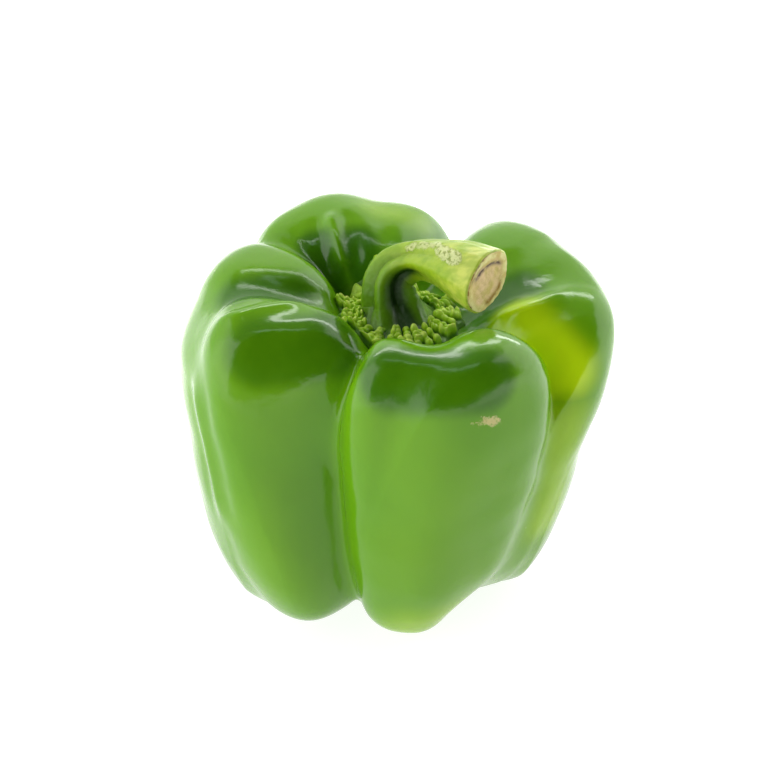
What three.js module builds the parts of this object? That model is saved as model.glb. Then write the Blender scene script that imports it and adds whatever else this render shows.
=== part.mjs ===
import * as THREE from "three";

// Green blocky bell pepper: a lobed fruit and the stalk with its calyx.
// Millimetres, Z up, the front of the fruit looks along -Y, feet on Z = 0.
// Azimuths are in degrees, 0 along +X and -90 along -Y.

// Every pair is [value at the foot, value at the top] of that lobe.
// reach is the distance of the lobe from the axis, turn how far its own axes are turned from
// the radius, depth its half size along the radius, width its half size across, z its two
// ends, corner and round the squareness of its plan and of its two ends, lean how late the
// foot values turn into the top values, narrowing how much thinner it gets toward the axis.
const LOBES = [
  { family: "front", az: [-87, -92], turn: [0, 0], reach: [17, 25], depth: [15, 11.5], width: [9.5, 10.3],
    z: [1.3, 72.5], corner: 2.9, round: [2.8, 2.6], lean: 1, narrowing: 0.8 },
  { family: "front", az: [-64, -53], turn: [0, 0], reach: [17, 29], depth: [15, 13], width: [13, 16],
    z: [6.5, 72.5], corner: 2.5, round: [2.8, 2.7], lean: 1, narrowing: 0.8 },
  { family: "left", az: [-141, -151], turn: [0, -38], reach: [22, 27.2], depth: [17, 19.5], width: [15.5, 12],
    z: [1.6, 73.6], corner: 2.5, round: [2.8, 3.2], lean: 1, narrowing: 0.3 },
  { family: "left", az: [168, 166], turn: [0, -5], reach: [23.5, 27.5], depth: [17.5, 18], width: [15, 14],
    z: [7, 74.3], corner: 2.3, round: [3, 2.8], lean: 1, narrowing: 0.8 },
  { family: "back", az: [126, 125], turn: [0, 0], reach: [20, 29], depth: [16, 17], width: [13.5, 15],
    z: [3, 73.9], corner: 2.3, round: [2.8, 2.8], lean: 1, narrowing: 0.8 },
  { family: "back", az: [90, 99], turn: [0, 0], reach: [18, 25], depth: [16, 18], width: [15, 17],
    z: [3, 73.8], corner: 2.3, round: [2.8, 2.8], lean: 1, narrowing: 0.8 },
  { family: "right", az: [24, 39], turn: [0, 0], reach: [17, 30.5], depth: [16, 18.5], width: [17, 18],
    z: [3.7, 71.8], corner: 2.3, round: [3, 2.8], lean: 1.5, narrowing: 0.8 },
  { family: "right", az: [-15, 2], turn: [0, 22], reach: [17, 33.3], depth: [16, 18.5], width: [15, 14],
    z: [3.7, 70], corner: 2.3, round: [3, 2.8], lean: 1.7, narrowing: 0.8 },
];
// How widely the lobes of a family flow together below the first height and above the second.
const FAMILY_BLEND = { front: [6, 6], left: [14, 3], back: [7, 6], right: [9, 6] };
const BLEND_Z = [56, 74];
const FURROW_BLEND = 2.6;
const CORE = { z: [9, 61], radius: [13, 31], round: 3, blend: 5 };
const SEAT = { x: 0.6, y: 0, z: 56.5, radius: 16, height: 6, blend: 3 };

const AROUND = 90;
const FRUIT_STEPS = 46;
const CAP_STEPS = 7;
const CAP_SHARE = 1 - CAP_STEPS / FRUIT_STEPS;
const RAY_START_Z = [24, 48];
const OUTSIDE = 75;
const SOLE_Z = 0;

const CALYX = { radius: 12.8, neck: 0.53, edge: 0.9, rise: 1.4, fingers: 19, finger: 1.3 };
const GAP = 0.45;

// Centre line of the stalk with its radius over the ribs, from the calyx over the arch to the
// cut end; flute is how deep the hollows between the ribs are, as a share of the radius.
const STALK = [
  { at: [-1.0, 1.0, 67.2], radius: 6.6, flute: 0.36 },
  { at: [-1.3, 1.4, 69.0], radius: 6.1, flute: 0.38 },
  { at: [-1.2, 2.2, 71.4], radius: 5.6, flute: 0.36 },
  { at: [0.5, 2.7, 74.2], radius: 5.0, flute: 0.32 },
  { at: [4.0, 1.6, 76.6], radius: 4.5, flute: 0.26 },
  { at: [8.2, -1.6, 78.0], radius: 5.0, flute: 0.16 },
  { at: [12.9, -5.4, 78.4], radius: 6.3, flute: 0.07 },
  { at: [17.8, -9.3, 78.0], radius: 7.1, flute: 0.03 },
];
const STALK_RINGS = 16;
const RIB_AZIMUTHS = [-174, -112, -25, 48, 118];
const RIB_WIDTH = 24;
const CUT_BEVEL = 0.35;

const GREEN = 0x4f8a1c;
const STALK_GREEN = 0x8ea03a;

function mix(pair, share) {
  return pair[0] + (pair[1] - pair[0]) * share;
}

function softMin(a, b, blend) {
  const h = Math.max(blend - Math.abs(a - b), 0) / blend;
  return Math.min(a, b) - (h * h * blend) / 4;
}

function smooth(from, to, x) {
  const t = THREE.MathUtils.clamp((x - from) / (to - from), 0, 1);
  return t * t * (3 - 2 * t);
}

// Below zero inside one lobe: a rounded wedge that narrows toward the axis of the fruit.
function lobeField(x, y, z, lobe) {
  const u = (z - mix(lobe.z, 0.5)) / ((lobe.z[1] - lobe.z[0]) / 2);
  const share = THREE.MathUtils.clamp((u + 1) / 2, 0, 1.1) ** lobe.lean;
  const az = THREE.MathUtils.degToRad(mix(lobe.az, share));
  const reach = mix(lobe.reach, share);
  const depth = mix(lobe.depth, share);
  const width = mix(lobe.width, share);
  const turn = THREE.MathUtils.degToRad(mix(lobe.turn, share));
  const away = x * Math.cos(az) + y * Math.sin(az) - reach;
  const beside = y * Math.cos(az) - x * Math.sin(az);
  const out = away * Math.cos(turn) + beside * Math.sin(turn);
  const side = beside * Math.cos(turn) - away * Math.sin(turn);
  const wedge = THREE.MathUtils.clamp(1 + (lobe.narrowing * out) / reach, 0.15, 1.15);
  const across = Math.abs(side / (width * wedge)) ** lobe.corner;
  const plan = (Math.abs(out / depth) ** lobe.corner + across) ** (1 / lobe.corner);
  const round = lobe.round[u > 0 ? 1 : 0];
  const size = (plan ** round + Math.abs(u) ** round) ** (1 / round);
  return (size - 1) * Math.min(depth, width);
}

// The middle of the fruit, which closes the hollow between the lobes above and below.
function coreField(x, y, z) {
  const half = (CORE.z[1] - CORE.z[0]) / 2;
  const u = (z - mix(CORE.z, 0.5)) / half;
  const radius = mix(CORE.radius, THREE.MathUtils.clamp((u + 1) / 2, 0, 1));
  const size = ((Math.hypot(x, y) / radius) ** CORE.round + Math.abs(u) ** CORE.round) ** (1 / CORE.round);
  return (size - 1) * half;
}

// A low round cushion at the bottom of the upper hollow, where the calyx sits.
function seatField(x, y, z) {
  const flat = Math.hypot(x - SEAT.x, y - SEAT.y) / SEAT.radius;
  return (Math.hypot(flat, (z - SEAT.z) / SEAT.height) - 1) * SEAT.height;
}

// Lobes of one family flow into each other, families meet in sharper furrows.
function fruitField(x, y, z) {
  const families = new Map();
  const height = smooth(BLEND_Z[0], BLEND_Z[1], z);
  for (const lobe of LOBES) {
    const value = lobeField(x, y, z, lobe);
    const known = families.get(lobe.family);
    const blend = mix(FAMILY_BLEND[lobe.family], height);
    families.set(lobe.family, known === undefined ? value : softMin(known, value, blend));
  }
  const joined = [...families.values()].reduce((a, b) => softMin(a, b, FURROW_BLEND));
  return softMin(softMin(joined, coreField(x, y, z), CORE.blend), seatField(x, y, z), SEAT.blend);
}

// Outermost point of the fruit on a ray, found from outside inward and then halved.
function skinOnRay(start, direction, far) {
  const step = 0.5;
  const inside = (t) =>
    fruitField(start.x + direction.x * t, start.y + direction.y * t, start.z + direction.z * t) < 0;
  let high = far;
  while (high > step && !inside(high - step)) {
    high -= step;
  }
  let low = high - step;
  for (let i = 0; i < 24; i += 1) {
    const middle = (low + high) / 2;
    if (inside(middle)) {
      low = middle;
    } else {
      high = middle;
    }
  }
  return start.clone().addScaledVector(direction, low);
}

function onTheGround(point) {
  point.z = Math.max(point.z, SOLE_Z);
  return point;
}

// One closed surface: a pole, rings of equal count from low to high, a pole.
function skinOfRings(lowPole, rings, highPole) {
  const count = rings[0].length;
  const points = [lowPole, ...rings.flat(), highPole];
  const index = [];
  const at = (ring, k) => 1 + ring * count + (k % count);
  for (let k = 0; k < count; k += 1) {
    index.push(0, at(0, k + 1), at(0, k));
  }
  for (let ring = 0; ring + 1 < rings.length; ring += 1) {
    for (let k = 0; k < count; k += 1) {
      index.push(at(ring, k), at(ring, k + 1), at(ring + 1, k + 1));
      index.push(at(ring, k), at(ring + 1, k + 1), at(ring + 1, k));
    }
  }
  for (let k = 0; k < count; k += 1) {
    index.push(points.length - 1, at(rings.length - 1, k), at(rings.length - 1, k + 1));
  }
  const geometry = new THREE.BufferGeometry().setFromPoints(points);
  geometry.setIndex(index);
  geometry.computeVertexNormals();
  return geometry;
}

function calyxRadius(az) {
  const waves = 0.05 * Math.sin(5 * az + 0.6) + 0.04 * Math.sin(3 * az + 2);
  return CALYX.radius * (1 + waves + 0.03 * Math.cos(CALYX.fingers * az));
}

// One skin point per share of the way from the foot of the axis to its top: under the calyx
// the rays stand upright, elsewhere they fan out from straight up to straight down.
function skinPoint(share, az, lift) {
  const cap = (1 - share) / (1 - CAP_SHARE);
  const fan = Math.min(share / CAP_SHARE, 1);
  const elevation = (fan - 0.5) * Math.PI;
  const radius = calyxRadius(az) * (cap < 1 ? cap : smooth(0.3, 1, fan));
  const x = Math.cos(az);
  const y = Math.sin(az);
  const start = new THREE.Vector3(radius * x, radius * y, mix(RAY_START_Z, fan));
  const flat = Math.cos(elevation);
  const direction = new THREE.Vector3(flat * x, flat * y, Math.sin(elevation));
  const point = skinOnRay(start, direction, OUTSIDE);
  return onTheGround(point.add(new THREE.Vector3(0, 0, lift)));
}

function ringOf(make) {
  const ring = [];
  for (let k = 0; k < AROUND; k += 1) {
    ring.push(make((2 * Math.PI * k) / AROUND));
  }
  return ring;
}

function fruitGeometry() {
  const rings = [];
  for (let i = 1; i < FRUIT_STEPS; i += 1) {
    rings.push(ringOf((az) => skinPoint(i / FRUIT_STEPS, az, 0)));
  }
  return skinOfRings(skinPoint(0, 0, 0), rings, skinPoint(1, 0, 0));
}

// Thickness of the calyx, part 0 at its neck and 1 at its edge: it rises to the stalk
// and carries radial fingers.
function calyxLift(part, az) {
  const slope = CALYX.edge + CALYX.rise * (1 - part);
  const finger = 0.5 + 0.5 * Math.cos(CALYX.fingers * az + 1.2 * Math.sin(2 * az));
  const lump = 0.7 + 0.3 * Math.sin(9 * part + 5 * az);
  const along = smooth(0, 0.35, part) * (1 - 0.4 * smooth(0.7, 1, part));
  return slope + CALYX.finger * finger * lump * along;
}

// Share of the full radius at an angle round the stalk: 1 on a rib, less between the ribs.
function ribbed(phi, flute) {
  const nearest = Math.min(...RIB_AZIMUTHS.map((rib) => {
    const turn = THREE.MathUtils.radToDeg(phi) - rib;
    return Math.abs(turn - 360 * Math.round(turn / 360));
  }));
  return 1 - flute * (1 - Math.exp(-((nearest / RIB_WIDTH) ** 2)));
}

function stalkCurve(pick) {
  return new THREE.CatmullRomCurve3(STALK.map(pick), false, "catmullrom", 0.5);
}

// Rings across the stalk; each frame is the last one turned as little as possible.
function stalkRings() {
  const centre = stalkCurve((s) => new THREE.Vector3(...s.at));
  const section = stalkCurve((s) => new THREE.Vector3(s.radius, s.flute, 0));
  const rings = [];
  const across = new THREE.Vector3(1, 0, 0);
  let end = null;
  const ringAt = (middle, along, radius, flute) => {
    const up = new THREE.Vector3().crossVectors(along, across);
    return ringOf((phi) => middle.clone()
      .addScaledVector(across, radius * ribbed(phi, flute) * Math.cos(phi))
      .addScaledVector(up, radius * ribbed(phi, flute) * Math.sin(phi)));
  };
  for (let i = 0; i < STALK_RINGS; i += 1) {
    const t = i / (STALK_RINGS - 1);
    const along = centre.getTangent(t);
    across.addScaledVector(along, -across.dot(along)).normalize();
    end = { middle: centre.getPoint(t), along, radius: section.getPoint(t).x, flute: section.getPoint(t).y };
    rings.push(ringAt(end.middle, along, end.radius, end.flute));
  }
  const face = end.middle.clone().addScaledVector(end.along, CUT_BEVEL);
  rings.push(ringAt(face, end.along, end.radius - CUT_BEVEL, end.flute));
  rings.push(ringAt(face, end.along, end.radius / 2, end.flute));
  return { rings, face };
}

function stemGeometry() {
  const rings = [];
  for (let i = 1; i <= CAP_STEPS; i += 1) {
    rings.push(ringOf((az) => skinPoint(1 - i / FRUIT_STEPS, az, GAP)));
  }
  for (const part of [1, 0.93, 0.82, 0.68, 0.52, 0.36, 0.2, 0]) {
    const share = 1 - (1 - CAP_SHARE) * mix([CALYX.neck, 1], part);
    rings.push(ringOf((az) => skinPoint(share, az, GAP + calyxLift(part, az))));
  }
  const stalk = stalkRings();
  return skinOfRings(skinPoint(1, 0, GAP), [...rings, ...stalk.rings], stalk.face);
}

function skinMaterial() {
  return new THREE.MeshStandardMaterial({ color: GREEN, roughness: 0.2, metalness: 0 });
}

function stalkMaterial() {
  return new THREE.MeshStandardMaterial({ color: STALK_GREEN, roughness: 0.6, metalness: 0 });
}

function makePiece(name, geometry, material) {
  const piece = new THREE.Mesh(geometry, material);
  piece.name = name;
  return piece;
}

// The middle of the whole part's box comes over the origin.
function centred(group) {
  const box = new THREE.Box3().setFromObject(group);
  const middle = box.getCenter(new THREE.Vector3());
  for (const piece of group.children) {
    piece.geometry.translate(-middle.x, -middle.y, -box.min.z);
  }
  return group;
}

function bellPepper() {
  const group = new THREE.Group();
  group.name = "bell_pepper";
  group.add(makePiece("fruit", fruitGeometry(), skinMaterial()));
  group.add(makePiece("stem", stemGeometry(), stalkMaterial()));
  return centred(group);
}

export default bellPepper();
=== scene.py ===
import math

import bpy
import numpy as np
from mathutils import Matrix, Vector


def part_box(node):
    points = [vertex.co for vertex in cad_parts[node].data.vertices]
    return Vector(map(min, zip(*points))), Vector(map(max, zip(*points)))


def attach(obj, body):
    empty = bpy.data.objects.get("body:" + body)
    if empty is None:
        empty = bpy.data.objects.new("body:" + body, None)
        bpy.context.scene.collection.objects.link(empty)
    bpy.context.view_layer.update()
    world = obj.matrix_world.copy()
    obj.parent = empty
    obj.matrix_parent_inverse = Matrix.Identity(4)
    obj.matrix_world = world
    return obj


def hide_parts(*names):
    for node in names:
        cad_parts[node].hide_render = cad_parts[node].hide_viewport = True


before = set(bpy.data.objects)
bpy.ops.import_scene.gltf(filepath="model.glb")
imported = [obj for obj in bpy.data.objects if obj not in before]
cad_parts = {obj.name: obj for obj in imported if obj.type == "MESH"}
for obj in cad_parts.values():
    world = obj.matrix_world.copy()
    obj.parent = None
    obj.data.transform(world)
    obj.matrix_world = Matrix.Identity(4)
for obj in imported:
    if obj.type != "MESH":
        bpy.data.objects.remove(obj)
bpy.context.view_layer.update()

# A green bell pepper. Shapes are worked out in millimetres in the CAD model's own frame
# before it was centred, then moved and scaled into the shared frame in metres.
# Azimuths are in degrees, 0 along +X and -90 along -Y, where the camera stands.
MM = 0.001

# Every pair is (value at the foot, value at the top) of a lobe, as in the CAD source. reach is
# its distance from the axis, turn how far its own axes are turned from the radius, depth its
# half size along the radius, width its half size across, z its two ends, corner and round the
# squareness of its plan and of its two ends, lean how late the foot values turn into the top
# values, and narrowing how much thinner it gets toward the axis.
LOBES = [
    dict(family="front", az=(-87, -92), turn=(0, 0), reach=(17, 25), depth=(15, 11.5), width=(9.5, 10.3),
         z=(1.3, 72.5), corner=2.9, round=(2.8, 2.6), lean=1, narrowing=0.8),
    dict(family="front", az=(-64, -53), turn=(0, 0), reach=(17, 29), depth=(15, 13), width=(13, 16),
         z=(6.5, 72.5), corner=2.5, round=(2.8, 2.7), lean=1, narrowing=0.8),
    dict(family="left", az=(-141, -151), turn=(0, -38), reach=(22, 27.2), depth=(17, 19.5), width=(15.5, 12),
         z=(1.6, 73.6), corner=2.5, round=(2.8, 3.2), lean=1, narrowing=0.3),
    dict(family="left", az=(168, 166), turn=(0, -5), reach=(23.5, 27.5), depth=(17.5, 18), width=(15, 14),
         z=(7, 74.3), corner=2.3, round=(3, 2.8), lean=1, narrowing=0.8),
    dict(family="back", az=(126, 125), turn=(0, 0), reach=(20, 29), depth=(16, 17), width=(13.5, 15),
         z=(3, 73.9), corner=2.3, round=(2.8, 2.8), lean=1, narrowing=0.8),
    dict(family="back", az=(90, 99), turn=(0, 0), reach=(18, 25), depth=(16, 18), width=(15, 17),
         z=(3, 73.8), corner=2.3, round=(2.8, 2.8), lean=1, narrowing=0.8),
    dict(family="right", az=(24, 39), turn=(0, 0), reach=(17, 30.5), depth=(16, 18.5), width=(17, 18),
         z=(3.7, 71.8), corner=2.3, round=(3, 2.8), lean=1.5, narrowing=0.8),
    dict(family="right", az=(-15, 2), turn=(0, 22), reach=(17, 33.3), depth=(16, 18.5), width=(15, 14),
         z=(3.7, 70), corner=2.3, round=(3, 2.8), lean=1.7, narrowing=0.8),
]
# How widely the lobes of a family flow together, in mm: below the first of the two heights and
# above the second. FURROW_BLEND is the same between families.
FAMILY_BLEND = dict(front=(6, 6), left=(14, 3), back=(7, 6), right=(9, 6))
BLEND_Z = (56, 74)
FURROW_BLEND = 2.6
# The body in the middle that the lobes stand round, and the low seat of the calyx on its top.
CORE = dict(z=(9, 61), radius=(13, 31), round=3, blend=5)
SEAT = dict(x=0.6, y=0, z=56.5, radius=16, height=6, blend=3)
# Rays toward the skin start on these heights, lowest and highest, and are searched from OUTSIDE.
RAY_START_Z = (24, 48)
OUTSIDE = 75
# The rays of the cap, under the calyx, stand upright; this share of the way up they begin.
CAP_SHARE = 1 - 7 / 46
# Rings and points round of the coarse search, its step in mm, how far outside the coarse skin
# the true one may lie, half as far as inside it, and the halvings of the fine search.
SEARCH = dict(rings=90, around=120, step=0.75, spread=1.5, halvings=13)
# Low swells of the fruit: height in mm, seed, count of waves, shortest and longest in mm.
SWELLS = [(0.22, 4, 14, 16, 34), (0.05, 9, 14, 7, 13)]

# The calyx in mm: radius, neck as a share of it, thickness at the edge and what is added toward
# the neck, waves of the outline, count of the fingers and their height. The gap is under it.
CALYX = dict(radius=12.8, neck=0.53, edge=0.9, rise=1.4, waves=19, fingers=33, finger=2.1)
CALYX_GAP = 0.25
# Ranges that the fingers of the calyx are drawn from. Widths and places across are shares of the
# turn from one finger to the next, places and sizes along are shares of the length, ridge and
# knob are heights from 0 to 1, and gap is the way to the next knob as a multiple of its size.
FINGER = dict(seed=21, aside=(-0.3, 0.3), wide=(0.34, 0.56), bend=(-1.0, 1.0), start=(0, 0.22),
              stop=(0.86, 1.0), ridge=(0.40, 0.62), first=(0.05, 0.15), knob=(0.5, 1.0),
              size=(0.07, 0.16), off=(-0.14, 0.14), gap=(1.3, 1.9), rise=0.15, fall=0.12)
# Half width of a knob as a multiple of its finger's.
KNOB_WIDTH = 1.15
# Rings of the calyx's underside, from near its middle out to the edge.
UNDER_RINGS = 10

# Low folds on the fruit: points along the crest in mm, height of the crest, its half width
# and the depth of the shallow channel on either side.
RIDGES = [
    dict(height=1.2, width=1.6, channel=0.5, crest=[
        (-14.4, 23.5, 75.9), (-13.6, 20, 75.2), (-12.8, 16.6, 73.7), (-11.3, 12.7, 69.9),
        (-9.7, 10.7, 66.8)]),
    dict(height=0.7, width=1.8, channel=0.3, crest=[
        (18, -3.5, 64.5), (20.9, -4.2, 66.2), (24.9, -4.5, 68.1), (29, -3.8, 69.3), (33.1, -1.6, 69.9),
        (37, 4, 69.8)]),
    dict(height=0.6, width=1.6, channel=0.2, crest=[
        (-37, -13, 69.5), (-34, -14.2, 72), (-31.2, -14.4, 73), (-26.3, -12.3, 73.6), (-21.4, -10.5, 73.4),
        (-17, -9, 71.8)]),
    dict(height=0.55, width=1.7, channel=0.35, crest=[
        (-40.2, -15, 61), (-40, -17.5, 55), (-38.4, -20.5, 46), (-37, -22, 36), (-34.5, -22.5, 27)]),
]
# Each fold is full between these two shares of its length and fades toward its ends.
RIDGE_FULL = (0.3, 0.75)
# Middle and half width of the channel, as multiples of the fold's half width.
CHANNEL = dict(off=2.4, width=1.2)

# Middle line of the stalk and its radius over the ribs in mm, and flute, the depth of the
# hollows between the ribs as a share of the radius.
STALK = [
    dict(at=(-1.0, 1.0, 67.2), radius=6.6, flute=0.36),
    dict(at=(-1.3, 1.4, 69.0), radius=6.1, flute=0.38),
    dict(at=(-1.2, 2.2, 71.4), radius=5.6, flute=0.36),
    dict(at=(0.5, 2.7, 74.2), radius=5.0, flute=0.32),
    dict(at=(4.0, 1.6, 76.6), radius=4.5, flute=0.26),
    dict(at=(8.2, -1.6, 78.0), radius=5.0, flute=0.16),
    dict(at=(12.9, -5.4, 78.4), radius=6.3, flute=0.07),
    dict(at=(17.8, -9.3, 78.0), radius=7.1, flute=0.03),
]
# Marks on the cut face: (middle, radius, width) in mm, then start and stop in degrees.
FOLD = ((0.5, -2.5), 6.1, 0.42, 45, 140)
# FOLD_SHADE is painted shade: it widens the fold's dark mark beside the crease.
FOLD_SHADE = ((-1.2, -1.2), 5.0, 0.9, 90, 150)
RING = ((0, 0), 5.1, 0.55, 262, 345)
RIM = ((0, 0), 6.45, 0.30, 95, 240)
# Each mark fades at its ends over this many degrees.
MARK_FADE = 14

# Where the ribs stand round the stalk and how far they reach to either side, in degrees.
RIB_AZIMUTHS = (-174, -112, -25, 48, 118)
RIB_WIDTH = 24
# The deep channel under the bend, which runs out between two shares of the stalk's length.
HOLLOW = dict(azimuth=-70, width=32, depth=0.22, until=(0.45, 0.75))
# Unevenness of the stalk as a share of its radius, from waves over a cylinder of this size.
GRAIN = dict(size=6, middle=0.988, height=0.009, waves=(3, 16, 1.2, 4))
# Bevel of the stalk's end and how deep the end is sunk behind the cut face, in mm.
CUT_BEVEL = 0.35
CUT_SUNK = 1.2
# The hidden back of the cut face as (share of the radius, height in mm), then its front.
CUT_BACK = ((0.4, -0.5), (0.9, -0.5), (0.985, -0.25))
CUT_FRONT = dict(outer=0.98, inner=0.03, height=0.16, rough=0.05, waves=(12, 14, 0.8, 3), dish=0.25,
                 crease=0.2)

FINE = 1.0
FRUIT_AROUND = int(600 * FINE)
FRUIT_STEPS = int(420 * FINE)
STEM_AROUND = int(480 * FINE)
CALYX_STEPS = int(70 * FINE)
STALK_STEPS = int(150 * FINE)
CUT_STEPS = int(60 * FINE)

# Target in mm before centring, distance and lens in mm, elevation in degrees.
CAMERA_TARGET = (-2.4, 0, 47.3)
CAMERA_DISTANCE = 600
CAMERA_ELEVATION = 33
CAMERA_LENS = 135
CAMERA_SENSOR = 36

# The room round the pepper. Its dark part faces ROOM_TURN radians from -Y toward +X. To either
# side of that line it ends over the angles ROOM_OPEN, and the wall falls from its side to its
# back strength over the angles ROOM_BACK. The wall's top and fade are sines of the elevation.
ROOM_TURN = 0.42
ROOM_OPEN = (1.0, 1.13)
ROOM_BACK = (1.9, 2.4)
WALL = dict(top=0.75, fade=0.09, side=2.4, back=1.1)
DARK = dict(front=0.02, ceiling=0.22)
WHITE = (1, 1, 1)
# Half size of the floor in metres, its grey, and its glow: front strength up to the distance
# near from a point in front of the pepper, back strength from far on.
FLOOR_HALF = 4.0
FLOOR_GREY = (0.3, 0.3, 0.3)
FLOOR_GLOW = dict(middle=(0, -0.3, 0), near=0.29, far=0.41, front=0.90, back=1.7)

# Place, target and size in metres and power in watts. The strips are only seen in the gloss,
# and the two fills only light the surfaces.
LAMPS = [
    dict(name="top_box", place=(0.0, -0.1, 1.2), target=(0, 0, 0.05), size=(0.5, 0.12), power=0.5,
         colour=(0.8, 1, 0.95)),
    dict(name="front_fill", place=(-0.5, -0.8, 0.1), target=(0, 0, 0.04), size=(0.7, 0.4), power=2.2,
         mirrored=False),
    dict(name="back_fill", place=(0.0, 0.7, 0.8), target=(0, 0, 0.05), size=(0.8, 0.5), power=4.0,
         mirrored=False),
    dict(name="strip", place=(-0.004, 0.013, 0.106), target=(-0.004, -0.09, 0.085), size=(0.075, 0.010),
         power=0.017, lit=False),
    dict(name="right_strip", place=(0.036, 0.012, 0.088), target=(0.036, -0.09, 0.06), size=(0.032, 0.007),
         power=0.006, lit=False),
]


def mix(pair, share):
    return pair[0] + (pair[1] - pair[0]) * share


def smooth(start, end, x):
    t = np.clip((x - start) / (end - start), 0, 1)
    return t * t * (3 - 2 * t)


def soft_min(a, b, blend):
    h = np.clip(blend - np.abs(a - b), 0, None) / blend
    return np.minimum(a, b) - h * h * blend / 4


def lobe_field(p, lobe):
    """Below zero inside one lobe: a rounded wedge that narrows toward the axis."""
    half = (lobe["z"][1] - lobe["z"][0]) / 2
    u = (p[:, 2] - mix(lobe["z"], 0.5)) / half
    share = np.clip((u + 1) / 2, 0, 1.1) ** lobe["lean"]
    az = np.radians(mix(lobe["az"], share))
    reach = mix(lobe["reach"], share)
    depth = mix(lobe["depth"], share)
    width = mix(lobe["width"], share)
    away = p[:, 0] * np.cos(az) + p[:, 1] * np.sin(az) - reach
    beside = p[:, 1] * np.cos(az) - p[:, 0] * np.sin(az)
    turn = np.radians(mix(lobe["turn"], share))
    out = away * np.cos(turn) + beside * np.sin(turn)
    side = beside * np.cos(turn) - away * np.sin(turn)
    wedge = np.clip(1 + lobe["narrowing"] * out / reach, 0.15, 1.15)
    corner = lobe["corner"]
    plan = (np.abs(out / depth) ** corner + np.abs(side / (width * wedge)) ** corner) ** (1 / corner)
    power = np.where(u > 0, lobe["round"][1], lobe["round"][0])
    size = (plan ** power + np.abs(u) ** power) ** (1 / power)
    return (size - 1) * np.minimum(depth, width)


def core_field(p):
    half = (CORE["z"][1] - CORE["z"][0]) / 2
    u = (p[:, 2] - mix(CORE["z"], 0.5)) / half
    radius = mix(CORE["radius"], np.clip((u + 1) / 2, 0, 1))
    power = CORE["round"]
    size = ((np.hypot(p[:, 0], p[:, 1]) / radius) ** power + np.abs(u) ** power) ** (1 / power)
    return (size - 1) * half


def seat_field(p):
    flat = np.hypot(p[:, 0] - SEAT["x"], p[:, 1] - SEAT["y"]) / SEAT["radius"]
    return (np.hypot(flat, (p[:, 2] - SEAT["z"]) / SEAT["height"]) - 1) * SEAT["height"]


def fruit_field(p):
    """Lobes of one family flow into each other, families meet in sharper furrows."""
    families = {}
    height = smooth(*BLEND_Z, p[:, 2])
    for lobe in LOBES:
        value = lobe_field(p, lobe)
        known = families.get(lobe["family"])
        blend = mix(FAMILY_BLEND[lobe["family"]], height)
        families[lobe["family"]] = value if known is None else soft_min(known, value, blend)
    joined = None
    for value in families.values():
        joined = value if joined is None else soft_min(joined, value, FURROW_BLEND)
    joined = soft_min(joined, core_field(p), CORE["blend"])
    return soft_min(joined, seat_field(p), SEAT["blend"])


def march(start, direction):
    """Distance of the outermost skin point on each ray, searched from outside inward."""
    high = np.full(len(start), float(OUTSIDE))
    todo = np.arange(len(start))
    while len(todo):
        nearer = start[todo] + direction[todo] * (high[todo, None] - SEARCH["step"])
        free = (fruit_field(nearer) >= 0) & (high[todo] > SEARCH["step"])
        high[todo[free]] -= SEARCH["step"]
        todo = todo[free]
    return high


def skin_on_rays(start, direction, guess):
    """Skin points from rough distances: keeps a bracket that holds the skin and halves it."""
    high = guess + SEARCH["spread"]
    low = guess - 2 * SEARCH["spread"]
    lost = (fruit_field(start + direction * high[:, None]) < 0)
    lost |= (fruit_field(start + direction * low[:, None]) >= 0)
    high[lost] = march(start[lost], direction[lost])
    low[lost] = high[lost] - SEARCH["step"]
    for _ in range(SEARCH["halvings"]):
        middle = (low + high) / 2
        inside = fruit_field(start + direction * middle[:, None]) < 0
        low = np.where(inside, middle, low)
        high = np.where(inside, high, middle)
    return start + direction * low[:, None]


def calyx_radius(az):
    waves = 0.05 * np.sin(5 * az + 0.6) + 0.04 * np.sin(3 * az + 2)
    return CALYX["radius"] * (1 + waves + 0.03 * np.cos(CALYX["waves"] * az))


def fruit_rays(share, az):
    """Rays stand upright under the calyx and fan out from straight up to straight down elsewhere."""
    cap = (1 - share) / (1 - CAP_SHARE)
    fan = np.minimum(share / CAP_SHARE, 1)
    elevation = (fan - 0.5) * math.pi
    radius = calyx_radius(az) * np.where(cap < 1, cap, smooth(0.3, 1, fan))
    flat = np.cos(elevation)
    start = np.stack([radius * np.cos(az), radius * np.sin(az), mix(RAY_START_Z, fan)], -1)
    direction = np.stack([flat * np.cos(az), flat * np.sin(az), np.sin(elevation)], -1)
    return start, direction


def grid_of(shares, around):
    az = 2 * math.pi * np.arange(around) / around
    share_grid, az_grid = np.meshgrid(shares, az, indexing="ij")
    return share_grid, az_grid


def skin_grid(shares, around):
    """Skin points for rings at the given shares, from a coarse search and a fine halving."""
    rings = SEARCH["rings"]
    columns = SEARCH["around"]
    coarse_shares = np.linspace(shares[0], shares[-1], rings)
    share_grid, az_grid = grid_of(coarse_shares, columns)
    start, direction = fruit_rays(share_grid.ravel(), az_grid.ravel())
    rough = march(start, direction).reshape(share_grid.shape)
    row = np.interp(shares, coarse_shares, np.arange(rings))
    column = np.arange(around) * columns / around
    low_row = np.minimum(row.astype(int), rings - 2)
    low_column = column.astype(int)
    row_part = (row - low_row)[:, None]
    column_part = (column - low_column)[None, :]
    next_column = (low_column + 1) % columns
    lower = rough[low_row][:, low_column] * (1 - column_part) + rough[low_row][:, next_column] * column_part
    upper = (rough[low_row + 1][:, low_column] * (1 - column_part)
             + rough[low_row + 1][:, next_column] * column_part)
    guess = lower * (1 - row_part) + upper * row_part
    share_grid, az_grid = grid_of(shares, around)
    start, direction = fruit_rays(share_grid.ravel(), az_grid.ravel())
    return skin_on_rays(start, direction, guess.ravel()).reshape(len(shares), around, 3)


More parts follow.
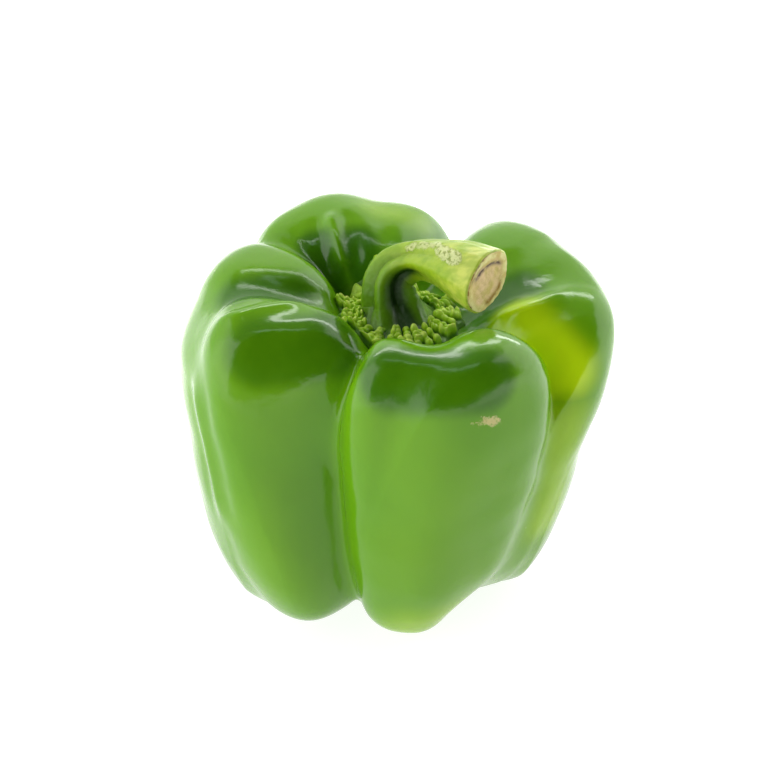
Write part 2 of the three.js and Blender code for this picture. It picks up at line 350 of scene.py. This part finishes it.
def waves_over(p, seed, count, shortest, longest):
    """Smooth random unevenness of a surface, about -1 to 1, from seeded waves in space."""
    draw = np.random.default_rng(seed)
    total = np.zeros(p.shape[:-1])
    for _ in range(count):
        way = draw.normal(size=3)
        way *= 2 * math.pi / (draw.uniform(shortest, longest) * np.linalg.norm(way))
        total += np.sin(p @ way + draw.uniform(0, 2 * math.pi))
    return total / math.sqrt(count)


def ring_normals(points):
    """Outward normals of a grid of rings, ring by ring from the lower pole to the upper one."""
    along = np.gradient(points, axis=0)
    around = np.roll(points, -1, 1) - np.roll(points, 1, 1)
    normal = np.cross(around, along)
    return normal / np.maximum(np.linalg.norm(normal, axis=-1, keepdims=True), 1e-9)


def mesh_of_rings(name, low_pole, rings, high_pole):
    """One closed surface: a pole, rings of equal count, a pole; UV runs round and along."""
    count = rings.shape[1]
    points = np.concatenate([[low_pole], rings.reshape(-1, 3), [high_pole]])
    ids = 1 + np.arange(rings.shape[0] * count).reshape(-1, count)
    after = np.roll(ids, -1, 1)
    quads = np.stack([ids[:-1], after[:-1], after[1:], ids[1:]], -1).reshape(-1, 4)
    foot = np.stack([np.zeros(count, int), after[0], ids[0]], -1)
    top = np.stack([np.full(count, len(points) - 1), ids[-1], after[-1]], -1)
    mesh = bpy.data.meshes.new(name)
    mesh.from_pydata(points.tolist(), [], foot.tolist() + quads.tolist() + top.tolist())
    mesh.shade_smooth()
    piece = bpy.data.objects.new(name, mesh)
    bpy.context.scene.collection.objects.link(piece)
    return piece


def add_values(piece, name, values):
    """Stores one number a vertex, which the piece's material reads by that name."""
    layer = piece.data.attributes.new(name, "FLOAT", "POINT")
    layer.data.foreach_set("value", np.asarray(values, np.float32))


def ridge_relief(p, ridge):
    """Height over the skin of one fold: a soft crest along a broken line, lower at its ends."""
    crest = np.array(ridge["crest"], float)
    nearest = np.full(p.shape[:-1], np.inf)
    place = np.zeros(p.shape[:-1])
    last = len(crest) - 1
    for i in range(last):
        step = crest[i + 1] - crest[i]
        t = np.clip((p - crest[i]) @ step / (step @ step), 0, 1)
        away = np.linalg.norm(p - crest[i] - t[..., None] * step, axis=-1)
        place = np.where(away < nearest, (i + t) / last, place)
        nearest = np.minimum(nearest, away)
    fade = smooth(0, RIDGE_FULL[0], place) * (1 - smooth(RIDGE_FULL[1], 1, place))
    width = ridge["width"]
    beside = (nearest - CHANNEL["off"] * width) / (CHANNEL["width"] * width)
    channel = ridge["channel"] * np.exp(-beside ** 2)
    return fade * (ridge["height"] * np.exp(-(nearest / width) ** 2) - channel)


def fruit_points():
    shares = np.linspace(0, 1, FRUIT_STEPS + 1)[1:-1]
    points = skin_grid(shares, FRUIT_AROUND)
    normal = ring_normals(points)
    # Nothing is added at the feet and under the calyx.
    calm = smooth(0, 3, points[..., 2]) * (1 - smooth(CAP_SHARE - 0.05, CAP_SHARE, shares)[:, None])
    swell = sum(height * waves_over(points, *waves) for height, *waves in SWELLS)
    folds = sum(ridge_relief(points, ridge) for ridge in RIDGES)
    points = points + normal * ((swell + folds) * calm)[..., None]
    points[..., 2] = np.maximum(points[..., 2], 0)
    return points


def fit_to_cad(points):
    """Scale, close to 1, and shift in mm that lay the fine fruit exactly in its CAD box."""
    low = points.reshape(-1, 3).min(0)
    high = points.reshape(-1, 3).max(0)
    cad_low, cad_high = (np.array(corner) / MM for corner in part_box("fruit"))
    scale = (cad_high - cad_low) / (high - low)
    return scale, cad_low - low * scale


def make_fruit(points, scale, shift):
    placed = (points * scale + shift) * MM
    low_pole = placed[0].mean(0)
    high_pole = placed[-1].mean(0)
    return mesh_of_rings("fruit_skin", low_pole, placed, high_pole)


def finger_relief(part, az):
    """Height of the calyx over its base, 0 to 1: uneven radial fingers with rounded knobs."""
    draw = np.random.default_rng(FINGER["seed"])
    turn = 2 * math.pi / CALYX["fingers"]
    relief = np.zeros(part.shape)
    for k in range(CALYX["fingers"]):
        middle = (k + draw.uniform(*FINGER["aside"])) * turn
        wide = draw.uniform(*FINGER["wide"])
        bend = draw.uniform(*FINGER["bend"])
        away = np.angle(np.exp(1j * (az - middle))) / turn - bend * (part - 0.5)
        start = draw.uniform(*FINGER["start"])
        stop = draw.uniform(*FINGER["stop"])
        along = smooth(start, start + FINGER["rise"], part)
        along = along * (1 - smooth(stop - FINGER["fall"], stop, part))
        ridge = draw.uniform(*FINGER["ridge"]) * np.clip(1 - (away / wide) ** 2, 0, None) ** 0.6
        relief = np.maximum(relief, ridge * along)
        spot = start + draw.uniform(*FINGER["first"])
        while spot < stop:
            tall = draw.uniform(*FINGER["knob"])
            size = draw.uniform(*FINGER["size"])
            aside = (away - draw.uniform(*FINGER["off"])) / (wide * KNOB_WIDTH)
            knob = tall * np.clip(1 - aside ** 2 - ((part - spot) / size) ** 2, 0, None) ** 0.5
            relief = np.maximum(relief, knob)
            spot += size * draw.uniform(*FINGER["gap"])
    return relief


def calyx_rings():
    """Underside close over the skin, then the knobbly top from the edge in to the neck."""
    under = 1 - (1 - CAP_SHARE) * np.linspace(0.08, 1, UNDER_RINGS)
    under_points = skin_grid(under, STEM_AROUND)
    under_points[..., 2] += CALYX_GAP
    part = np.linspace(1, 0, CALYX_STEPS)
    share = 1 - (1 - CAP_SHARE) * mix((CALYX["neck"], 1), part)
    top_points = skin_grid(share, STEM_AROUND)
    part_grid, az_grid = grid_of(part, STEM_AROUND)
    relief = finger_relief(part_grid, az_grid)
    slope = CALYX["edge"] + CALYX["rise"] * (1 - part_grid)
    fade = smooth(1.02, 0.93, part_grid) * smooth(0, 0.12, part_grid)
    top_points[..., 2] += CALYX_GAP + slope * smooth(1.05, 0.9, part_grid) + CALYX["finger"] * relief * fade
    return under_points, top_points, relief * fade


def curve_through(values, t):
    """Uniform Catmull-Rom curve through the rows of values, t from 0 to 1."""
    rows = np.array(values, float)
    rows = np.concatenate([[2 * rows[0] - rows[1]], rows, [2 * rows[-1] - rows[-2]]])
    place = t * (len(values) - 1)
    i = np.minimum(place.astype(int), len(values) - 2)
    w = (place - i)[:, None]
    a, b, c, d = rows[i], rows[i + 1], rows[i + 2], rows[i + 3]
    bend = (2 * a - 5 * b + 4 * c - d) * w ** 2 + (3 * b - a - 3 * c + d) * w ** 3
    return 0.5 * (2 * b + (c - a) * w + bend)


def apart(degrees, azimuth):
    """Angle between two azimuths, 0 to 180 degrees."""
    turn = degrees - azimuth
    return np.abs(turn - 360 * np.round(turn / 360))


def hollow_at(phi, t):
    """How far a place lies in the deep channel under the bend, 0 to 1."""
    across = np.exp(-(apart(np.degrees(phi), HOLLOW["azimuth"]) / HOLLOW["width"]) ** 2)
    return across * (1 - smooth(*HOLLOW["until"], t))


def ribbed(phi, flute, hollow):
    """Share of the full radius round the stalk: 1 on a rib, less between the ribs."""
    nearest = np.min([apart(np.degrees(phi), rib) for rib in RIB_AZIMUTHS], 0)
    return 1 - flute * (1 - np.exp(-(nearest / RIB_WIDTH) ** 2)) - HOLLOW["depth"] * hollow


def stalk_rings():
    """Rings across the stalk, its end and its way there, and the painted shade of each place in the hollow
    and along the grooves.

    Each ring's frame is the last one turned as little as possible.
    """
    t = np.linspace(0, 1, STALK_STEPS)
    middle = curve_through([s["at"] for s in STALK], t)
    section = curve_through([(s["radius"], s["flute"]) for s in STALK], t)
    along = np.gradient(middle, axis=0)
    along /= np.linalg.norm(along, axis=1, keepdims=True)
    phi = 2 * math.pi * np.arange(STEM_AROUND) / STEM_AROUND
    across = np.array([1.0, 0, 0])
    rings = []
    painted_hollow_shade = []
    for i in range(STALK_STEPS):
        across = across - along[i] * (across @ along[i])
        across /= np.linalg.norm(across)
        up = np.cross(along[i], across)
        grain = np.stack([np.cos(phi), np.sin(phi), np.full(STEM_AROUND, t[i])], -1) * GRAIN["size"]
        hollow = hollow_at(phi, t[i])
        uneven = GRAIN["middle"] + GRAIN["height"] * waves_over(grain, *GRAIN["waves"])
        radius = section[i, 0] * ribbed(phi, section[i, 1], hollow) * uneven
        flat = np.outer(np.cos(phi), across) + np.outer(np.sin(phi), up)
        rings.append(middle[i] + flat * radius[:, None])
        # Painted shade: darker in the hollow under the bend and along the grooves between the ribs.
        painted_groove_shade = np.clip((1 - ribbed(phi, 1, 0)) ** 2 * section[i, 1] * 1.4, 0, 0.5)
        painted_hollow_shade.append(np.clip(hollow + painted_groove_shade, 0, 1))
    return np.array(rings), middle[-1], along[-1], np.array(painted_hollow_shade)


def make_stem(shift):
    """Calyx and stalk as one closed piece, with the rim and the way that the cut face needs."""
    under, top, relief = calyx_rings()
    stalk, end, way, painted_hollow_shade = stalk_rings()
    bevel = end + (stalk[-1] - end) * (1 - CUT_BEVEL / STALK[-1]["radius"]) + way * CUT_BEVEL * 0.6
    rings = np.concatenate([under, top, stalk, [bevel]])
    placed = (rings + shift) * MM
    low_pole = placed[0].mean(0)
    sunk_pole = placed[-1].mean(0) - way * CUT_SUNK * MM
    piece = mesh_of_rings("stalk", low_pole, placed, sunk_pole)
    first = len(under) + len(top)
    shape = rings.shape[:2]
    part = np.linspace(1, 0, len(top))[:, None]
    calyx = np.zeros(shape)
    calyx[:len(under)] = 1
    calyx[len(under):first] = smooth(0.0, 0.18, part)
    knob = np.zeros(shape)
    knob[len(under):first] = relief
    length = np.zeros(shape)
    length[first:] = np.linspace(0, 1, len(stalk) + 1)[:, None]
    # The hollow values carry painted shade into the material, fading from the calyx's neck outward.
    hollow = np.zeros(shape)
    hollow[len(under):first] = painted_hollow_shade[0] * (1 - smooth(0.05, 0.25, part))
    hollow[first:-1] = painted_hollow_shade
    for name, values in (("calyx", calyx), ("knob", knob), ("length", length), ("hollow", hollow)):
        add_values(piece, name, np.concatenate([[values[0, 0]], values.ravel(), [values[-1, 0]]]))
    return piece, bevel, way


def arc_mark(h, v, middle, radius, width, start, stop):
    """A soft curved mark on the cut face: an arc of a circle between two angles, 0 to 1."""
    angle = np.degrees(np.arctan2(v - middle[1], h - middle[0])) % 360
    past = (angle - start) % 360
    span = (stop - start) % 360
    inside = smooth(0, MARK_FADE, past) * (1 - smooth(span - MARK_FADE, span, past))
    off = (np.hypot(h - middle[0], v - middle[1]) - radius) / width
    return np.exp(-off ** 2) * inside


def make_cut_face(bevel, way, shift):
    """The cut end: a closed, slightly hollow disc that sits in the stalk's rim."""
    centre = bevel.mean(0)
    level = np.cross((0, 0, 1), way)
    level /= np.linalg.norm(level)
    upward = np.cross(way, level)
    rings = []
    marks = dict(fold=[], ring=[], rim=[], size=[])
    for size, lift in CUT_BACK:
        rings.append(centre + (bevel - centre) * size + way * lift)
        for name in marks:
            marks[name].append(np.zeros(STEM_AROUND))
    for size in np.linspace(CUT_FRONT["outer"], CUT_FRONT["inner"], CUT_STEPS):
        flat = centre + (bevel - centre) * size
        h = (flat - centre) @ level
        v = (flat - centre) @ upward
        # The fold mark sinks the crease and darkens it; its FOLD_SHADE part is painted shade.
        fold = arc_mark(h, v, *FOLD) + 0.6 * arc_mark(h, v, *FOLD_SHADE)
        ring = arc_mark(h, v, *RING)
        rim = arc_mark(h, v, *RIM)
        rough = CUT_FRONT["rough"] * waves_over(flat, *CUT_FRONT["waves"])
        rough = rough - CUT_FRONT["dish"] * (1 - smooth(0.5, 0.9, size)) - CUT_FRONT["crease"] * fold
        rings.append(flat + way * (CUT_FRONT["height"] + rough)[:, None])
        for name, value in (("fold", fold), ("ring", ring), ("rim", rim), ("size", np.full_like(h, size))):
            marks[name].append(value)
    placed = (np.array(rings) + shift) * MM
    piece = mesh_of_rings("cut_end", placed[0].mean(0), placed, placed[-1].mean(0))
    for name, values in marks.items():
        add_values(piece, name, np.concatenate([[0], np.ravel(values), [values[-1][0]]]))
    return piece


class Nodes:
    """Short calls that add linked shader nodes to a material or to the world."""

    def __init__(self, owner, place):
        owner.use_nodes = True
        self.owner = owner
        self.tree = owner.node_tree
        self.place = self.add("ShaderNodeTexCoord").outputs[place]

    def add(self, kind, **settings):
        node = self.tree.nodes.new(kind)
        for key, value in settings.items():
            setattr(node, key, value)
        return node

    def put(self, socket, value):
        if isinstance(value, bpy.types.NodeSocket):
            self.tree.links.new(value, socket)
        else:
            socket.default_value = value

    def noise(self, scale, detail=3.0, stretch=(1, 1, 1), rough=0.5):
        moved = self.add("ShaderNodeMapping")
        self.put(moved.inputs["Vector"], self.place)
        moved.inputs["Scale"].default_value = stretch
        node = self.add("ShaderNodeTexNoise")
        self.put(node.inputs["Vector"], moved.outputs["Vector"])
        node.inputs["Scale"].default_value = scale
        node.inputs["Detail"].default_value = detail
        node.inputs["Roughness"].default_value = rough
        return node.outputs["Fac"]

    def ramp(self, value, start, end, low=0.0, high=1.0):
        node = self.add("ShaderNodeMapRange", interpolation_type="SMOOTHSTEP")
        self.put(node.inputs["Value"], value)
        node.inputs["From Min"].default_value = start
        node.inputs["From Max"].default_value = end
        node.inputs["To Min"].default_value = low
        node.inputs["To Max"].default_value = high
        return node.outputs["Result"]

    def clouds(self, span, scale, detail=3.0, stretch=(1, 1, 1), rough=0.5, low=0.0, high=1.0):
        """Noise with more contrast: low up to the first value of span, high from the second."""
        return self.ramp(self.noise(scale, detail, stretch, rough), *span, low, high)

    def math(self, kind, a, b=0.0):
        node = self.add("ShaderNodeMath", operation=kind)
        self.put(node.inputs[0], a)
        self.put(node.inputs[1], b)
        return node.outputs["Value"]

    def swing(self, value, reach):
        """A value from 0 to 1 turned into one that swings round 0, over a span of reach."""
        return self.math("MULTIPLY", self.math("SUBTRACT", value, 0.5), reach)

    def blend(self, share, a, b):
        node = self.add("ShaderNodeMix", data_type="RGBA")
        self.put(node.inputs["Factor"], share)
        self.put(node.inputs["A"], (*a, 1) if isinstance(a, tuple) else a)
        self.put(node.inputs["B"], (*b, 1) if isinstance(b, tuple) else b)
        return node.outputs["Result"]

    def vector(self, kind, a, b):
        node = self.add("ShaderNodeVectorMath", operation=kind)
        self.put(node.inputs[0], a)
        self.put(node.inputs[1], b)
        return node.outputs["Value" if kind in ("DOT_PRODUCT", "DISTANCE") else "Vector"]

    def from_line(self, start, end):
        """Distance in metres from the line between two points of the shared frame."""
        run = np.array(end) - np.array(start)
        offset = self.vector("SUBTRACT", self.place, start)
        share = self.add("ShaderNodeClamp")
        self.put(share.inputs["Value"], self.vector("DOT_PRODUCT", offset, run / (run @ run)))
        foot = self.add("ShaderNodeVectorMath", operation="SCALE")
        foot.inputs[0].default_value = run
        self.put(foot.inputs["Scale"], share.outputs["Result"])
        return self.vector("DISTANCE", offset, foot.outputs["Vector"])

    def value(self, name):
        return self.add("ShaderNodeAttribute", attribute_name=name).outputs["Fac"]

    def bump(self, height, strength, depth):
        node = self.add("ShaderNodeBump")
        self.put(node.inputs["Height"], height)
        node.inputs["Strength"].default_value = strength
        node.inputs["Distance"].default_value = depth
        return node.outputs["Normal"]

    def finish(self, shader="Principled BSDF", **sockets):
        inputs = self.tree.nodes[shader].inputs
        for name, value in sockets.items():
            self.put(inputs[name.replace("_", " ")], value)
        return self.owner


def new_material(name):
    """Nodes of a new material, placed in the shared frame like the pieces."""
    return Nodes(bpy.data.materials.new(name), "Object")


# Painted shade: a darker green laid on the shoulders where they face the dark side of the room.
PAINTED_SHADE_GREEN = (0.036, 0.14, 0.001)
MID_GREEN = (0.11, 0.30, 0.002)
LIGHT_GREEN = (0.145, 0.345, 0.003)
YELLOW_GREEN = (0.56, 0.80, 0.005)
SPECK_GREEN = (0.45, 0.58, 0.25)
SCAR_TAN = (0.55, 0.50, 0.20)

# Patches of colour along short lines: start and end in mm before centring, full and outer reach in mm, and
# strength. The darker patches are painted shade on the shoulders, where they face the dark side of the room.
PAINTED_SHADE_PATCHES = [
    ((-1, -32, 70), (18, -33, 70), 5, 10.5, 0.8),
    ((-27, -21.5, 69), (-13, -19, 69.5), 5, 11, 0.75),
    ((-32, -4, 71), (-21, -2, 71), 2, 9, 0.8),
    ((-17, 15, 72), (-14, 10, 66), 2, 7, 0.9),
    ((-8, 15, 72), (-5, 10, 66), 2, 7, 0.9),
    ((25, 3, 69), (17, -1, 64), 2, 9, 0.9),
    ((40, -4, 64), (39.5, -7, 57), 1, 6, 0.5),
]
YELLOW_PATCHES = [
    ((25, -7.5, 67.5), (34, -12.5, 59.5), 0.5, 11, 1.0),
    ((-3, 26, 75), (5, 25, 73), 1, 10, 0.3),
    ((4, -26, 6), (9, -26, 6), 3, 14, 0.35),
    ((33, -14, 50), (30, -14, 25), 2, 11, 0.4),
]
# The scar along a short line in mm before centring: reach, where it is full, and raggedness.
SCAR = dict(start=(14.8, -34.2, 61.3), end=(20.9, -33.4, 60.4), reach=1.2, full=0.7, ragged=3.2)
# Specks in cells per metre, their outer and full reach in cells, and how strongly they show.
SPECKS = dict(scale=150, reach=0.060, full=0.030, strength=0.8)
# Noises of the skin, with their scale in cells per metre. GLOSS gives the roughness.
MOTTLE = dict(span=(0.32, 0.68), scale=28, detail=2, rough=0.45)
LONG_STREAKS = dict(span=(0.35, 0.7), scale=90, stretch=(1, 1, 0.18))
SPECK_AREAS = dict(span=(0.54, 0.60), scale=240, detail=1)
SCAR_GAPS = dict(span=(0.3, 0.5), scale=1600, low=0.35)
GLOSS = dict(span=(0.3, 0.7), scale=60, low=0.12, high=0.21)
# How much rougher and higher the scar is than the skin round it.
SCAR_DULL = 0.35
SCAR_RAISED = 0.6
SKIN_BUMP = dict(strength=0.3, depth=0.0003)
SKIN_LIGHT = dict(IOR=1.43, Subsurface_Weight=0.12, Subsurface_Scale=0.004,
                  Subsurface_Radius=(0.4, 1.0, 0.15))


def packed(point, shift):
    """A point given in mm before centring, in metres of the shared frame."""
    return tuple((np.array(point) + shift) * MM)


def patch_share(n, patches, shift):
    """Share of a colour that covers each place, from a list of patches along lines."""
    share = 0.0
    for start, end, full, outer, amount in patches:
        away = n.from_line(packed(start, shift), packed(end, shift))
        share = n.math("MAXIMUM", share, n.ramp(away, outer * MM, full * MM, 0.0, amount))
    return share


def skin_greens(n, shift):
    """Mottled green, with painted shade on the shoulders of some lobes, yellow-green in a few areas."""
    mottle = n.math("MULTIPLY", n.clouds(**MOTTLE), 0.6)
    share = n.math("ADD", mottle, n.math("MULTIPLY", n.clouds(**LONG_STREAKS), 0.25))
    colour = n.blend(share, MID_GREEN, LIGHT_GREEN)
    edge = n.swing(n.noise(70), 0.5)
    # Painted shade: darker green on the shoulders, its edges broken by noise.
    deep = n.math("ADD", patch_share(n, PAINTED_SHADE_PATCHES, shift), edge)
    colour = n.blend(n.ramp(deep, 0.1, 1.0), colour, PAINTED_SHADE_GREEN)
    yellow = patch_share(n, YELLOW_PATCHES, shift)
    yellow = n.math("ADD", yellow, n.math("MULTIPLY", edge, yellow))
    return n.blend(n.ramp(yellow, 0.0, 1.0), colour, YELLOW_GREEN)


def speck_share(n):
    """Tiny pale dots, far apart."""
    specks = n.add("ShaderNodeTexVoronoi")
    n.put(specks.inputs["Vector"], n.place)
    specks.inputs["Scale"].default_value = SPECKS["scale"]
    dots = n.ramp(specks.outputs["Distance"], SPECKS["reach"], SPECKS["full"])
    dots = n.math("MULTIPLY", dots, n.clouds(**SPECK_AREAS))
    return n.math("MULTIPLY", dots, SPECKS["strength"])


def scar_share(n, shift):
    """One short, ragged scar on the front lobe."""
    ragged = n.swing(n.noise(650, 5, rough=0.7), SCAR["ragged"] * MM)
    away = n.from_line(packed(SCAR["start"], shift), packed(SCAR["end"], shift))
    return n.ramp(n.math("ADD", away, ragged), SCAR["reach"] * MM, SCAR["full"] * MM)


def skin_material(shift):
    n = new_material("pepper_skin")
    colour = n.blend(speck_share(n), skin_greens(n, shift), SPECK_GREEN)
    scar = scar_share(n, shift)
    colour = n.blend(n.math("MULTIPLY", scar, n.clouds(**SCAR_GAPS)), colour, SCAR_TAN)
    rough = n.math("ADD", n.clouds(**GLOSS), n.math("MULTIPLY", scar, SCAR_DULL))
    height = n.math("ADD", n.noise(350), n.math("MULTIPLY", scar, SCAR_RAISED))
    return n.finish(Base_Color=colour, Roughness=rough, Normal=n.bump(height, **SKIN_BUMP), **SKIN_LIGHT)


STALK_GREEN = (0.13, 0.29, 0.005)
STALK_LIME = (0.31, 0.46, 0.010)
STALK_PALE_AND_HIGHLIGHT = (0.60, 0.64, 0.11)
CALYX_GREEN = (0.34, 0.56, 0.014)
CALYX_TOP_HIGHLIGHT = (0.62, 0.76, 0.13)
PAINTED_CALYX_SHADE = (0.07, 0.19, 0.004)
# Painted shade in the stalk's hollow and grooves.
PAINTED_CHANNEL_SHADE = (0.012, 0.045, 0.002)
CORK = (0.62, 0.66, 0.30)
CRACK = (0.24, 0.30, 0.03)
# Corky places on the stalk, given like the patches.
CORK_PLACES = [
    ((8.5, -5.5, 83.0), (11.8, -9.2, 83.0), 0.6, 2.4, 1.0),
    ((2, 0, 80.5), (8, -3.5, 83.3), 0.3, 2.0, 0.7),
]
STALK_BLOTCHES = dict(span=(0.3, 0.7), scale=170)
STALK_STREAKS = dict(span=(0.35, 0.65), scale=520, detail=4, stretch=(0.4, 1, 1))
CORK_CRACKS = dict(span=(0.50, 0.60), scale=1300, detail=5, rough=0.75)
STALK_BUMP = dict(strength=0.5, depth=0.0004)
STALK_LIGHT = dict(IOR=1.4, Subsurface_Weight=0.1, Subsurface_Scale=0.002,
                   Subsurface_Radius=(0.5, 1.0, 0.2))


def stalk_greens(n, streaks):
    """Green at the foot, lime along the stalk, paler and blotched toward the cut end, partly as a painted
    highlight, with painted shade in the hollow and grooves.
    """
    length = n.value("length")
    blotch = n.clouds(**STALK_BLOTCHES)
    stalk = n.blend(n.ramp(length, 0.15, 0.65), STALK_GREEN, STALK_LIME)
    # Partly painted highlight: paler toward the cut end, standing in for the light on the stalk's top, and
    # blotched.
    pale_and_highlight = n.math("MULTIPLY", n.ramp(length, 0.6, 0.95), n.ramp(blotch, 0, 1, 0.15, 0.85))
    stalk = n.blend(pale_and_highlight, stalk, STALK_PALE_AND_HIGHLIGHT)
    stalk = n.blend(n.math("MULTIPLY", streaks, 0.45), stalk, STALK_GREEN)
    # Painted shade from the hollow values.
    return n.blend(n.value("hollow"), stalk, PAINTED_CHANNEL_SHADE)


def stalk_material(shift):
    n = new_material("stalk_and_calyx")
    streaks = n.clouds(**STALK_STREAKS)
    crack = n.clouds(**CORK_CRACKS)
    torn = n.swing(n.noise(520, 5, rough=0.7), 1.8)
    cork = n.ramp(n.math("ADD", patch_share(n, CORK_PLACES, shift), torn), 0.35, 0.8)
    bark = n.blend(crack, CORK, CRACK)
    stalk = n.blend(n.math("MULTIPLY", cork, 0.85), stalk_greens(n, streaks), bark)
    knob = n.value("knob")
    # Painted shade: dark green in the gaps between the calyx's fingers.
    leaf = n.blend(n.ramp(knob, 0.05, 0.5), PAINTED_CALYX_SHADE, CALYX_GREEN)
    # Painted highlight: paler green on the tops of the tallest knobs.
    leaf = n.blend(n.math("MULTIPLY", n.ramp(knob, 0.45, 0.95), 0.8), leaf, CALYX_TOP_HIGHLIGHT)
    colour = n.blend(n.value("calyx"), stalk, leaf)
    height = n.math("ADD", n.noise(800, 4), n.math("MULTIPLY", cork, n.math("SUBTRACT", 1.0, crack)))
    return n.finish(Base_Color=colour, Roughness=n.ramp(streaks, 0, 1, 0.34, 0.5),
                    Normal=n.bump(height, **STALK_BUMP), **STALK_LIGHT)


CUT_CREAM = (0.78, 0.72, 0.32)
CUT_TAN = (0.60, 0.47, 0.15)
CUT_PEACH = (0.76, 0.56, 0.30)
CUT_FOLD_DARK_AND_SHADE = (0.14, 0.10, 0.08)
CUT_BROWN = (0.30, 0.16, 0.02)
CUT_DARK = (0.10, 0.06, 0.01)
CUT_MOTTLE = dict(span=(0.35, 0.65), scale=380, detail=4)
MARK_GAPS = dict(span=(0.32, 0.55), scale=900, detail=4, low=0.25)
RIM_SPOTS = dict(span=(0.45, 0.60), scale=700, detail=4, low=0.1)
CUT_BUMP = dict(strength=0.6, depth=0.0004)


def cut_material():
    n = new_material("cut_end")
    mottle = n.clouds(**CUT_MOTTLE)
    size = n.value("size")
    pith = n.blend(mottle, CUT_TAN, CUT_PEACH)
    colour = n.blend(n.ramp(size, 0.68, 0.86), pith, n.blend(mottle, CUT_CREAM, CUT_TAN))
    broken = n.clouds(**MARK_GAPS)
    # The fold's dark mark: a dark streak, with painted shade beside it from FOLD_SHADE.
    colour = n.blend(n.math("MULTIPLY", n.value("fold"), broken), colour, CUT_FOLD_DARK_AND_SHADE)
    colour = n.blend(n.math("MULTIPLY", n.value("ring"), broken), colour, CUT_BROWN)
    spots = n.math("MULTIPLY", n.value("rim"), n.clouds(**RIM_SPOTS))
    colour = n.blend(spots, colour, n.blend(mottle, CUT_DARK, CUT_BROWN))
    height = n.noise(1100, 5, rough=0.7)
    return n.finish(Base_Color=colour, Roughness=n.ramp(mottle, 0, 1, 0.6, 0.8),
                    Normal=n.bump(height, **CUT_BUMP), IOR=1.4)


def dress(piece, material, node):
    piece.data.materials.append(material)
    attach(piece, "root")
    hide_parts(node)


def floor_material():
    n = new_material("studio_floor")
    away = n.vector("DISTANCE", n.place, FLOOR_GLOW["middle"])
    glow = n.ramp(away, FLOOR_GLOW["near"], FLOOR_GLOW["far"], FLOOR_GLOW["front"], FLOOR_GLOW["back"])
    return n.finish(Base_Color=(*FLOOR_GREY, 1), Roughness=0.9, Specular_IOR_Level=0.0,
                    Emission_Color=(*WHITE, 1), Emission_Strength=glow)


def make_floor():
    mesh = bpy.data.meshes.new("floor")
    corners = [(x * FLOOR_HALF, y * FLOOR_HALF, 0) for x, y in ((-1, -1), (1, -1), (1, 1), (-1, 1))]
    mesh.from_pydata(corners, [], [(0, 1, 2, 3)])
    floor = bpy.data.objects.new("floor", mesh)
    bpy.context.scene.collection.objects.link(floor)
    mesh.materials.append(floor_material())


def aim(thing, target):
    thing.rotation_euler = (Vector(target) - thing.location).to_track_quat("-Z", "Y").to_euler()


def add_softbox(name, place, target, size, power, colour=WHITE, mirrored=True, lit=True):
    light = bpy.data.lights.new(name, "AREA")
    light.shape = "RECTANGLE"
    light.size, light.size_y = size
    light.energy = power
    light.color = colour
    box = bpy.data.objects.new(name, light)
    bpy.context.scene.collection.objects.link(box)
    box.location = place
    box.visible_glossy = mirrored
    box.visible_diffuse = lit
    box.visible_camera = False
    aim(box, target)


def make_world():
    """White walls at the sides and the back, a dim ceiling, and a dark room on the camera's side."""
    world = bpy.data.worlds.new("studio")
    bpy.context.scene.world = world
    n = Nodes(world, "Generated")
    split = n.add("ShaderNodeSeparateXYZ")
    n.put(split.inputs["Vector"], n.place)
    height = split.outputs["Z"]
    around = n.math("ARCTAN2", split.outputs["X"], n.math("MULTIPLY", split.outputs["Y"], -1.0))
    sideways = n.math("ABSOLUTE", n.math("SUBTRACT", around, ROOM_TURN))
    edge = (WALL["top"], WALL["top"] + WALL["fade"])
    wall = n.ramp(sideways, *ROOM_BACK, WALL["side"], WALL["back"])
    wall = n.math("MULTIPLY", wall, n.ramp(height, *edge, 1.0, 0.0))
    ceiling = n.ramp(height, *edge, 0.0, DARK["ceiling"])
    room = n.math("MULTIPLY", n.math("ADD", wall, ceiling), n.ramp(sideways, *ROOM_OPEN))
    n.finish("Background", Color=(*WHITE, 1), Strength=n.math("ADD", room, DARK["front"]))


def make_camera(shift):
    camera_data = bpy.data.cameras.new("camera")
    camera_data.lens = CAMERA_LENS
    camera_data.sensor_width = CAMERA_SENSOR
    camera = bpy.data.objects.new("camera", camera_data)
    bpy.context.scene.collection.objects.link(camera)
    target = (np.array(CAMERA_TARGET) + shift) * MM
    tilt = math.radians(CAMERA_ELEVATION)
    back = np.array([0, -math.cos(tilt), math.sin(tilt)]) * CAMERA_DISTANCE * MM
    camera.location = target + back
    aim(camera, target)
    bpy.context.scene.camera = camera


def main():
    points = fruit_points()
    scale, shift = fit_to_cad(points)
    fruit = make_fruit(points, scale, shift)
    dress(fruit, skin_material(shift), "fruit")
    stem, bevel, way = make_stem(shift)
    dress(stem, stalk_material(shift), "stem")
    dress(make_cut_face(bevel, way, shift), cut_material(), "stem")
    make_floor()
    make_world()
    for lamp in LAMPS:
        add_softbox(**lamp)
    make_camera(shift)
    bpy.context.scene.view_settings.view_transform = "Standard"
    bpy.context.scene.view_settings.exposure = 0.0


main()
